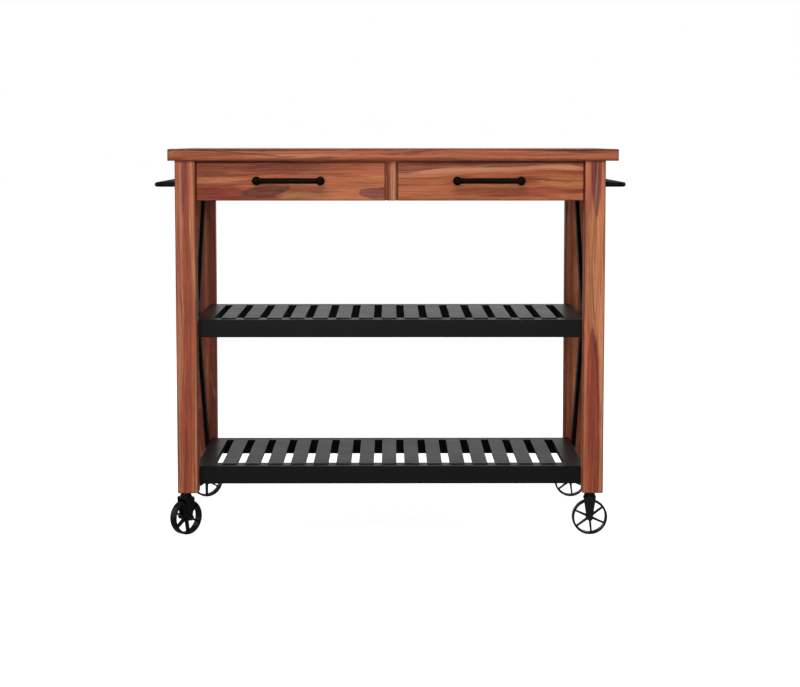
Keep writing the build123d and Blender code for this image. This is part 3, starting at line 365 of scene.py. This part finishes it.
LEG_BOX = {"leg_front_left": (-0.507, -0.458, -0.280, -0.231), "leg_front_right": (0.458, 0.507, -0.280, -0.231),
           "leg_rear_left": (-0.507, -0.458, 0.259, 0.308), "leg_rear_right": (0.458, 0.507, 0.259, 0.308)}
LEG_STREAKS = {
    "leg_front_left": [
        (lit(184, 110, 80), [(0, 0.14), (0.35, 0.14), (0.7, 0.15), (1, 0.15)], [(0, 0.16), (0.5, 0.16), (0.8, 0.15), (1, 0.12)], 0.10, 0.80),
        (lit(158, 76, 50), [(0, 0.50), (0.15, 0.50), (0.3, 0.52), (0.45, 0.50), (1, 0.5)], [(0, 0.22), (0.2, 0.24), (0.33, 0.22), (0.42, 0.10), (0.48, 0.0), (1, 0.0)], 0.12, 0.75),
        (lit(144, 72, 56), [(0, 0.5), (0.3, 0.52), (0.42, 0.56), (0.55, 0.58), (0.7, 0.58), (0.82, 0.54), (0.9, 0.50), (1, 0.50)], [(0, 0.0), (0.3, 0.08), (0.42, 0.21), (0.55, 0.22), (0.7, 0.19), (0.8, 0.18), (0.88, 0.22), (1, 0.23)], 0.05, 0.90),
        (lit(100, 52, 58), [(0, 0.4), (0.84, 0.42), (0.9, 0.44), (0.95, 0.48), (1, 0.50)], [(0, 0.0), (0.82, 0.0), (0.86, 0.06), (0.93, 0.12), (1, 0.12)], 0.07, 0.80),
        (lit(104, 48, 36), [(0, 0.64), (0.2, 0.68), (0.42, 0.70), (1, 0.70)], [(0, 0.03), (0.2, 0.045), (0.38, 0.03), (0.46, 0.0), (1, 0.0)], 0.07, 0.65),
        (lit(112, 54, 38), [(0, 0.47), (0.25, 0.44), (0.42, 0.46), (1, 0.46)], [(0, 0.02), (0.25, 0.03), (0.38, 0.02), (0.44, 0.0), (1, 0.0)], 0.06, 0.60),
        (lit(206, 126, 88), [(0, 0.90), (0.3, 0.91), (0.50, 0.92), (0.58, 0.90), (0.66, 0.87), (0.74, 0.83), (0.80, 0.80), (0.88, 0.84), (1, 0.80)], [(0, 0.07), (0.25, 0.06), (0.48, 0.05), (0.57, 0.06), (0.66, 0.08), (0.74, 0.08), (0.80, 0.10), (0.88, 0.07), (1, 0.07)], 0.05, 0.88),
        (lit(218, 146, 110), [(0, 0.30), (0.3, 0.30), (0.6, 0.295), (1, 0.29)], [(0, 0.022), (0.3, 0.022), (0.38, 0.03), (0.6, 0.034), (1, 0.034)], 0.05, 0.85),
        (lit(172, 70, 46), [(0, 0.40), (0.2, 0.40), (0.36, 0.39), (1, 0.38)], [(0, 0.04), (0.2, 0.05), (0.33, 0.04), (0.40, 0.0), (1, 0.0)], 0.06, 0.70),
        # painted shade: a dark strip along the inner edge, widest near the top beside the drawer
        (lit(108, 46, 32), [(0, 0.99), (0.6, 0.99), (0.8, 0.97), (1, 0.96)], [(0, 0.015), (0.6, 0.02), (0.72, 0.05), (0.9, 0.07), (1, 0.07)], 0.06, 0.8),
    ],
    "leg_front_right": [
        (lit(188, 112, 82), [(0, 0.12), (0.5, 0.12), (1, 0.16)], [(0, 0.10), (0.4, 0.08), (0.7, 0.12), (1, 0.14)], 0.10, 0.70),
        (lit(216, 122, 80), [(0, 0.55), (0.5, 0.55), (1, 0.50)], [(0, 0.0), (0.44, 0.0), (0.50, 0.30), (0.60, 0.40), (0.78, 0.40), (0.86, 0.28), (0.92, 0.15), (1, 0.1)], 0.16, 0.80),
        (lit(104, 50, 50), [(0, 0.59), (0.82, 0.59), (0.9, 0.58), (1, 0.58)], [(0, 0.0), (0.82, 0.0), (0.84, 0.07), (0.87, 0.17), (0.92, 0.24), (1, 0.27)], 0.045, 1.0),
        (lit(150, 78, 66), [(0, 0.60), (0.84, 0.60), (0.9, 0.60), (1, 0.60)], [(0, 0.0), (0.86, 0.0), (0.90, 0.03), (0.95, 0.05), (1, 0.06)], 0.06, 0.50),
        (lit(136, 62, 44), [(0, 0.47), (0.15, 0.46), (0.29, 0.44), (0.41, 0.43), (0.47, 0.42), (0.51, 0.42), (1, 0.42)], [(0, 0.35), (0.15, 0.36), (0.29, 0.33), (0.40, 0.27), (0.46, 0.17), (0.495, 0.07), (0.51, 0.01), (0.52, 0.0), (1, 0.0)], 0.055, 0.88),
        (lit(90, 42, 38), [(0, 0.74), (0.2, 0.74), (0.35, 0.68), (0.45, 0.55), (0.5, 0.45), (1, 0.45)], [(0, 0.07), (0.2, 0.08), (0.35, 0.09), (0.45, 0.08), (0.495, 0.05), (0.51, 0.0), (1, 0.0)], 0.07, 0.80),
        (lit(166, 104, 78), [(0, 0.87), (0.25, 0.87), (0.4, 0.89), (0.5, 0.88), (1, 0.88)], [(0, 0.06), (0.25, 0.05), (0.38, 0.03), (0.46, 0.0), (1, 0.0)], 0.06, 0.75),
        (lit(186, 100, 66), [(0, 0.14), (0.3, 0.10), (0.5, 0.08), (1, 0.08)], [(0, 0.12), (0.3, 0.08), (0.44, 0.04), (0.5, 0.0), (1, 0.0)], 0.09, 0.75),
        (lit(160, 76, 50), [(0, 0.50), (0.2, 0.48), (0.38, 0.5), (1, 0.5)], [(0, 0.07), (0.15, 0.06), (0.28, 0.08), (0.40, 0.03), (0.44, 0.0), (1, 0.0)], 0.09, 0.65),
        (lit(112, 66, 46), [(0, 0.97), (0.3, 0.97), (0.48, 0.98), (1, 0.98)], [(0, 0.06), (0.3, 0.06), (0.46, 0.04), (0.54, 0.02), (1, 0.02)], 0.06, 0.75),
    ],
    "leg_rear_left": [
        (lit(172, 100, 74), [(0, 0.52), (0.5, 0.53), (1, 0.48)], [(0, 0.05), (0.3, 0.06), (0.5, 0.11), (0.7, 0.07), (1, 0.11)], 0.10, 0.85),
        (lit(150, 84, 66), [(0, 0.93), (0.5, 0.90), (1, 0.92)], [(0, 0.03), (0.35, 0.04), (0.6, 0.09), (1, 0.09)], 0.10, 0.75),
        (lit(112, 58, 44), [(0, 0.76), (0.5, 0.77), (1, 0.74)], [(0, 0.06), (0.5, 0.07), (1, 0.05)], 0.10, 0.80),
    ],
    "leg_rear_right": [
        (lit(88, 44, 34), [(0, 0.05), (0.5, 0.04), (1, 0.05)], [(0, 0.06), (0.5, 0.06), (1, 0.06)], 0.07, 0.85),
        (lit(148, 86, 62), [(0, 0.24), (0.5, 0.22), (1, 0.26)], [(0, 0.12), (0.5, 0.13), (1, 0.12)], 0.10, 0.80),
        (lit(186, 116, 78), [(0, 0.52), (0.3, 0.50), (0.6, 0.48), (1, 0.52)], [(0, 0.12), (0.3, 0.15), (0.6, 0.12), (1, 0.14)], 0.12, 0.85),
    ],
}
# shade levels above 1 paint the right front leg and both rear legs lighter, as painted light
for i, (name, (x0, x1, y0, y1)) in enumerate(LEG_BOX.items()):
    b = [0.1025, 0.8925, x0, x1, y0, y1]
    dress(name, wood("wood_" + name, "Z", 11 + i, pith=((-0.35, -0.42, 0.44, 0.37)[i], 0.36), box=b,
                     streaks=LEG_STREAKS[name], tone=(0.18, 0.34, 0.52, 0.80), shade=(1.0, 1.09, 1.06, 1.16)[i],
                     warp=0.020 if i < 2 else 0.010))

FRONT_STREAKS = {
    "drawer_front_left": [
        (lit(186, 108, 74), [(0, 0.5), (0.45, 0.5), (0.6, 0.5), (1, 0.5)], [(0, 0.0), (0.45, 0.0), (0.58, 0.36), (0.8, 0.38), (1, 0.30)], 0.20, 0.55),
        (lit(122, 68, 54), [(0, 0.92), (0.2, 0.92), (0.35, 0.90), (0.5, 0.87), (0.7, 0.90), (1, 0.90)], [(0, 0.09), (0.1, 0.08), (0.2, 0.05), (0.35, 0.10), (0.5, 0.14), (0.66, 0.10), (0.76, 0.0), (1, 0.0)], 0.07, 0.72),
        (lit(136, 74, 54), [(0, 0.74), (0.2, 0.74), (1, 0.74)], [(0, 0.10), (0.1, 0.10), (0.16, 0.06), (0.20, 0.0), (1, 0.0)], 0.06, 0.70),
        (lit(190, 112, 76), [(0, 0.54), (0.15, 0.55), (0.3, 0.56), (1, 0.55)], [(0, 0.10), (0.15, 0.11), (0.24, 0.08), (0.34, 0.03), (0.4, 0.0), (1, 0.0)], 0.06, 0.80),
        (lit(122, 56, 42), [(0, 0.33), (0.12, 0.34), (0.25, 0.38), (1, 0.4)], [(0, 0.10), (0.08, 0.08), (0.16, 0.05), (0.26, 0.02), (0.3, 0.0), (1, 0.0)], 0.06, 0.75),
        (lit(128, 54, 40), [(0, 0.18), (0.1, 0.20), (0.25, 0.19), (1, 0.2)], [(0, 0.18), (0.1, 0.19), (0.2, 0.18), (0.28, 0.09), (0.34, 0.0), (1, 0.0)], 0.07, 0.95),
        (lit(112, 60, 48), [(0, 0.30), (0.1, 0.32), (0.2, 0.30), (1, 0.3)], [(0, 0.03), (0.1, 0.03), (0.2, 0.02), (0.26, 0.0), (1, 0.0)], 0.06, 0.60),
        (lit(204, 128, 90), [(0, 0.1), (0.42, 0.06), (0.5, 0.12), (0.6, 0.16), (0.72, 0.14), (0.82, 0.1), (1, 0.1)], [(0, 0.0), (0.40, 0.0), (0.48, 0.09), (0.58, 0.09), (0.7, 0.06), (0.80, 0.02), (0.86, 0.0), (1, 0.0)], 0.09, 0.70),
        (lit(104, 58, 48), [(0, 0.2), (0.23, 0.20), (0.30, 0.22), (0.38, 0.25), (0.45, 0.29), (0.51, 0.36), (1, 0.4)], [(0, 0.0), (0.225, 0.0), (0.245, 0.07), (0.30, 0.14), (0.37, 0.17), (0.44, 0.13), (0.49, 0.06), (0.515, 0.0), (1, 0.0)], 0.045, 0.92),
        (lit(142, 84, 62), [(0, 0.3), (0.33, 0.30), (0.42, 0.32), (1, 0.4)], [(0, 0.0), (0.31, 0.0), (0.35, 0.03), (0.40, 0.04), (0.45, 0.0), (1, 0.0)], 0.05, 0.55),
        (lit(164, 96, 84), [(0, 0.88), (0.88, 0.88), (1, 0.86)], [(0, 0.0), (0.86, 0.0), (0.92, 0.10), (1, 0.12)], 0.08, 0.60),
        (lit(100, 56, 60), [(0, 0.2), (0.86, 0.22), (0.93, 0.19), (1, 0.18)], [(0, 0.0), (0.852, 0.0), (0.87, 0.08), (0.91, 0.14), (0.95, 0.17), (1, 0.19)], 0.045, 0.90),
    ],
    "drawer_front_right": [
        (lit(168, 93, 58), [(0, 0.5), (0.5, 0.5), (1, 0.5)], [(0, 0.26), (0.3, 0.30), (0.7, 0.22), (1, 0.16)], 0.16, 0.50),
        (lit(108, 58, 48), [(0, 0.86), (0.08, 0.86), (0.16, 0.90), (0.3, 0.93), (0.55, 0.93), (0.7, 0.93), (0.9, 0.95), (1, 0.93)], [(0, 0.14), (0.08, 0.14), (0.16, 0.11), (0.3, 0.09), (0.55, 0.10), (0.75, 0.08), (0.9, 0.06), (1, 0.10)], 0.045, 0.88),
        (lit(112, 46, 36), [(0, 0.72), (0.07, 0.72), (0.12, 0.74), (1, 0.76)], [(0, 0.03), (0.07, 0.035), (0.12, 0.02), (0.15, 0.0), (1, 0.0)], 0.05, 0.80),
        (lit(212, 140, 102), [(0, 0.64), (0.07, 0.67), (0.14, 0.74), (0.22, 0.80), (0.5, 0.80), (0.78, 0.80), (0.86, 0.84), (0.91, 0.86), (1, 0.78)], [(0, 0.005), (0.1, 0.01), (0.2, 0.015), (0.5, 0.012), (0.8, 0.02), (0.9, 0.025), (1, 0.015)], 0.05, 0.70),
        (lit(200, 116, 68), [(0, 0.5), (0.72, 0.52), (0.85, 0.48), (1, 0.46)], [(0, 0.0), (0.70, 0.0), (0.80, 0.12), (0.88, 0.18), (1, 0.18)], 0.12, 0.75),
        (lit(140, 72, 50), [(0, 0.30), (0.3, 0.28), (0.6, 0.30), (1, 0.32)], [(0, 0.03), (0.3, 0.05), (0.6, 0.03), (0.75, 0.0), (1, 0.0)], 0.10, 0.60),
        (lit(138, 76, 54), [(0, 0.06), (0.4, 0.04), (1, 0.04)], [(0, 0.06), (0.4, 0.05), (0.7, 0.02), (1, 0.02)], 0.07, 0.60),
        (lit(150, 66, 48), [(0, 0.2), (0.66, 0.22), (0.8, 0.25), (1, 0.25)], [(0, 0.0), (0.62, 0.0), (0.72, 0.04), (0.82, 0.08), (0.92, 0.06), (1, 0.07)], 0.06, 0.82),
        (lit(168, 82, 58), [(0, 0.12), (0.5, 0.12), (0.7, 0.14), (1, 0.1)], [(0, 0.0), (0.40, 0.0), (0.52, 0.10), (0.72, 0.12), (0.86, 0.05), (0.9, 0.0), (1, 0.0)], 0.10, 0.60),
        (lit(192, 114, 88), [(0, 0.1), (0.86, 0.08), (1, 0.10)], [(0, 0.0), (0.85, 0.0), (0.9, 0.06), (1, 0.08)], 0.06, 0.70),
        (lit(130, 66, 46), [(0, 0.10), (0.15, 0.12), (0.28, 0.14), (1, 0.1)], [(0, 0.03), (0.15, 0.05), (0.24, 0.03), (0.32, 0.0), (1, 0.0)], 0.05, 0.75),
        (lit(128, 66, 60), [(0, 0.3), (0.40, 0.30), (0.45, 0.30), (1, 0.3)], [(0, 0.0), (0.395, 0.0), (0.42, 0.035), (0.445, 0.02), (0.47, 0.0), (1, 0.0)], 0.05, 0.70),
    ],
}
for i, name in enumerate(("drawer_front_left", "drawer_front_right")):
    b = box_of(name, "X")
    dress(name, wood("wood_" + name, "X", 31 + 3 * i, pith=((-0.70, -0.74)[i], 0.42), box=b, streaks=FRONT_STREAKS[name],
                     tone=(0.18, 0.34, 0.50, 0.82)))

top_box = box_of("worktop", "X")
dress("worktop", wood("wood_worktop", "X", 51, pith=(-0.80, -0.10), box=top_box, boards=(0.1, -0.336, "v"),
                      tone=(0.14, 0.30, 0.46, 0.78), reach=(0.004, 0.016), streaks=[
                          (lit(164, 88, 60), [(0, 0.5), (1, 0.5)], [(0, 0.48), (0.5, 0.5), (1, 0.48)], 0.12, 0.86),
                          (lit(200, 126, 92), [(0, 0.40), (0.15, 0.42), (0.3, 0.44), (0.42, 0.42), (0.6, 0.34), (0.8, 0.32), (1, 0.34)], [(0, 0.03), (0.13, 0.05), (0.24, 0.13), (0.36, 0.13), (0.44, 0.04), (0.6, 0.05), (0.8, 0.07), (1, 0.06)], 0.07, 0.80),
                          (lit(176, 84, 60), [(0, 0.7), (0.4, 0.68), (0.6, 0.62), (0.75, 0.58), (1, 0.62)], [(0, 0.05), (0.3, 0.03), (0.45, 0.12), (0.6, 0.12), (0.8, 0.09), (1, 0.10)], 0.08, 0.75),
                          (lit(142, 76, 50), [(0, 0.5), (0.1, 0.55), (1, 0.5)], [(0, 0.34), (0.07, 0.30), (0.16, 0.14), (0.26, 0.0), (1, 0.0)], 0.10, 0.80),
                          (lit(122, 54, 38), [(0, 0.12), (0.5, 0.09), (0.8, 0.10), (1, 0.08)], [(0, 0.16), (0.3, 0.13), (0.6, 0.10), (0.85, 0.09), (1, 0.10)], 0.06, 0.92),
                          # painted shade: a dark band along the top few millimetres of the front edge
                          (lit(74, 40, 30), [(0, 0.95), (0.3, 0.95), (0.75, 0.96), (0.85, 0.93), (0.95, 0.93), (1, 0.95)], [(0, 0.14), (0.3, 0.12), (0.7, 0.09), (0.84, 0.17), (0.94, 0.16), (1, 0.12)], 0.05, 1.0),
                      ]))
b = box_of("centre_stile", "Z")
b[2], b[3], b[5] = -0.0076, 0.0138, -0.236
# painted light and shade: shade=1.15 paints the stile lighter, the first streak paints its right half lighter as the
# lit side, the second paints shade on its left half where the left drawer shades it
dress("centre_stile", wood("wood_stile", "Z", 61, pith=(0.4, 0.4), box=b, tone=(0.15, 0.30, 0.46, 0.74), reach=(0.004, 0.012), shade=1.15, streaks=[
    (lit(224, 130, 102), [(0, 0.72), (1, 0.72)], [(0, 0.26), (0.5, 0.27), (1, 0.26)], 0.06, 0.85),
    (lit(110, 48, 36), [(0, 0.18), (1, 0.18)], [(0, 0.24), (0.5, 0.24), (1, 0.24)], 0.06, 0.88)]))
dress("rear_apron", wood("wood_rear_apron", "X", 71, pith=(-0.72, 0.30),
                         box=[-0.458, 0.458, 0.799, 0.8925, 0.286, 0.304], tone=(0.20, 0.36, 0.50, 0.74), warp=0.009))
for i, name in enumerate(("side_apron_left", "side_apron_right")):
    dress(name, wood("wood_" + name, "Y", 81 + 2 * i, pith=(-0.70, 0.25),
                     box=[-0.231, 0.259, 0.799, 0.8925, *((-0.507, -0.489), (0.489, 0.507))[i]], tone=(0.20, 0.36, 0.50, 0.74), warp=0.008))
dress("front_top_rail", wood("wood_top_rail", "X", 91, pith=(-0.8, 0.4), gloss=0.52))
dress("centre_partition", wood("wood_partition", "Y", 92, pith=(-0.7, 0.3), gloss=0.55))
dress("slide_rail_left", wood("wood_slide_rail_left", "Y", 93, pith=(-0.7, 0.3), gloss=0.55))
dress("slide_rail_right", wood("wood_slide_rail_right", "Y", 94, pith=(-0.7, 0.3), gloss=0.55))
dress("drawer_runners", wood("wood_runners", "Y", 95, pith=(-0.7, 0.3), gloss=0.50))
for i, s in enumerate(("left", "right")):
    dress(f"drawer_{s}_side_left", wood(f"wood_{s}_side_left", "Y", 101 + i, pith=(-0.7, 0.3), gloss=0.52))
    dress(f"drawer_{s}_side_right", wood(f"wood_{s}_side_right", "Y", 103 + i, pith=(-0.7, 0.3), gloss=0.52))
    dress(f"drawer_{s}_back", wood(f"wood_{s}_back", "X", 105 + i, pith=(-0.7, 0.3), gloss=0.52))
    dress(f"drawer_{s}_bottom", wood(f"wood_{s}_bottom", "X", 107 + i, pith=(0.1, 0.3), gloss=0.52, boards=(0.12, -0.262, "v")))
    dress(f"drawer_stop_{s}", wood(f"wood_{s}_stop", "Z", 109 + i, pith=(0.1, 0.3), gloss=0.5))

shelf_black = black("black_powder_coat", 24, 0.36, 0.06)
brace_black = black("black_brace_coat", 10, 0.55, 0.08, 1000.0)
rail_black = black("black_rail_coat", 11, 0.50, 0.09, 1400.0)
pull_black = black("black_pull_coat", 11, 0.55, 0.06, 1500.0, warm=5.0)
castor_black = black("black_casting", 11, 0.36, 0.16, 700.0)
bolt_black = black("black_fastener", 12, 0.40, 0.20, 1600.0)
zinc = plated("zinc_plate")
for n in nodes:
    if n.startswith("shelf_frame") or n.startswith("shelf_slats"):
        dress(n, shelf_black)
    elif n.startswith("brace_left") or n.startswith("brace_right"):
        dress(n, brace_black)
    elif n.startswith("towel_rail_left") or n.startswith("towel_rail_right"):
        dress(n, rail_black)
    elif n in ("pull_left", "pull_right"):
        dress(n, pull_black)
    elif n.startswith("castor_fork") or n.startswith("castor_wheel"):
        dress(n, castor_black)
    elif n in ("shelf_screws", "brace_bolts", "brace_nuts", "towel_rail_bolts") or n.startswith("axle_bolt"):
        dress(n, bolt_black)
    elif n in ("top_brackets", "top_screws", "castor_sockets", "brace_pins") or n.startswith("pull_screws"):
        dress(n, zinc)

# ---------------------------------------------------------------------- stage
def flat(name, corners, mat):
    mesh = bpy.data.meshes.new(name)
    mesh.from_pydata(corners, [], [(0, 1, 2, 3)])
    o = bpy.data.objects.new(name, mesh)
    scene.collection.objects.link(o)
    mesh.materials.append(mat)
    o.visible_diffuse = False
    return o


s = 40.0
f = Tree("pale_floor")
tone = f.noise(f.co, 0.8, 2.0, 0.5)
f.set(Base_Color=f.mix(rgb(236, 236, 236), rgb(243, 243, 243), tone), Roughness=0.9, Specular_IOR_Level=0.0,
      Emission_Color=(1, 1, 1, 1), Emission_Strength=0.88)
floor = flat("floor", [(-s, -s, 0), (s, -s, 0), (s, s, 0), (-s, s, 0)], f.mat)
floor.visible_glossy = False

# --------------------------------------------------------------------- lights
world = bpy.data.worlds.new("studio")
world.use_nodes = True
wt = world.node_tree
wt.nodes.clear()
w_out = wt.nodes.new("ShaderNodeOutputWorld")
bg = wt.nodes.new("ShaderNodeBackground")
bg.inputs[0].default_value = (1, 1, 1, 1)
path = wt.nodes.new("ShaderNodeLightPath")
way = wt.nodes.new("ShaderNodeTexCoord")
apart = wt.nodes.new("ShaderNodeSeparateXYZ")
wt.links.new(way.outputs["Generated"], apart.inputs[0])


def between(value, lo, hi, a, b, kind="SMOOTHSTEP"):
    n = wt.nodes.new("ShaderNodeMapRange")
    n.interpolation_type = kind
    wt.links.new(value, n.inputs["Value"])
    for key, x in (("From Min", lo), ("From Max", hi), ("To Min", a), ("To Max", b)):
        if isinstance(x, bpy.types.NodeSocket):
            wt.links.new(x, n.inputs[key])
        else:
            n.inputs[key].default_value = x
    return n.outputs[0]


soft = between(apart.outputs[2], -0.25, 0.35, 0.10, 0.185)      # light that fills the shade
aside = wt.nodes.new("ShaderNodeMath")
aside.operation = "ABSOLUTE"
wt.links.new(apart.outputs[0], aside.inputs[0])
dim = wt.nodes.new("ShaderNodeMath")                            # less of it from the two ends of the room
dim.operation = "MULTIPLY"
wt.links.new(soft, dim.inputs[0])
wt.links.new(between(aside.outputs[0], 0.25, 0.95, 1.0, 0.35), dim.inputs[1])
soft = dim.outputs[0]
# what the gloss reflects: a studio wall, brightest just above the horizon
height = between(apart.outputs[2], -0.25, 0.35, 0.0, 1.0, "LINEAR")
wall = wt.nodes.new("ShaderNodeFloatCurve")
points = [(-0.25, 0.10), (-0.12, 0.07), (-0.03, 0.04), (0.01, 0.30), (0.05, 1.0), (0.09, 1.0), (0.13, 0.42), (0.18, 0.13), (0.25, 0.07), (0.35, 0.07)]
c = wall.mapping.curves[0]
while len(c.points) < len(points):
    c.points.new(0.5, 0.5)
for p, (z, level) in zip(c.points, points):
    p.location, p.handle_type = ((z + 0.25) / 0.60, level), "AUTO_CLAMPED"
wall.mapping.update()
wt.links.new(height, wall.inputs["Value"])
wall_level = wt.nodes.new("ShaderNodeMath")
wall_level.operation = "MULTIPLY"
wall_level.inputs[1].default_value = 1.9
wt.links.new(wall.outputs[0], wall_level.inputs[0])
shine = wall_level.outputs[0]
amount = between(path.outputs["Is Glossy Ray"], 0.0, 1.0, soft, shine)
amount = between(path.outputs["Is Camera Ray"], 0.0, 1.0, amount, 1.0)
wt.links.new(amount, bg.inputs[1])
wt.links.new(bg.outputs[0], w_out.inputs[0])
scene.world = world


def area(name, loc, target, size, power, spread=180.0):
    d = bpy.data.lights.new(name, "AREA")
    d.shape = "RECTANGLE"
    d.size, d.size_y = size
    d.energy = power
    d.spread = radians(spread)
    o = bpy.data.objects.new(name, d)
    scene.collection.objects.link(o)
    o.location = loc
    o.rotation_euler = (Vector(target) - Vector(loc)).to_track_quat("-Z", "Y").to_euler()
    o.visible_camera = False
    return o


area("key_light", (-0.4, -2.9, 3.3), (0, 0, 0.5), (3.0, 1.6), 56)
area("front_fill", (-0.25, -4.6, 0.65), (0, 0, 0.5), (2.4, 1.6), 50)
area("side_light_left", (-4.0, 0.6, 1.8), (0, 0, 0.5), (1.8, 1.8), 20)
area("side_light_right", (4.0, 0.6, 1.8), (0, 0, 0.5), (1.8, 1.8), 18)
area("back_light", (0.6, 3.2, 3.0), (0, 0, 0.5), (3.0, 1.4), 40)
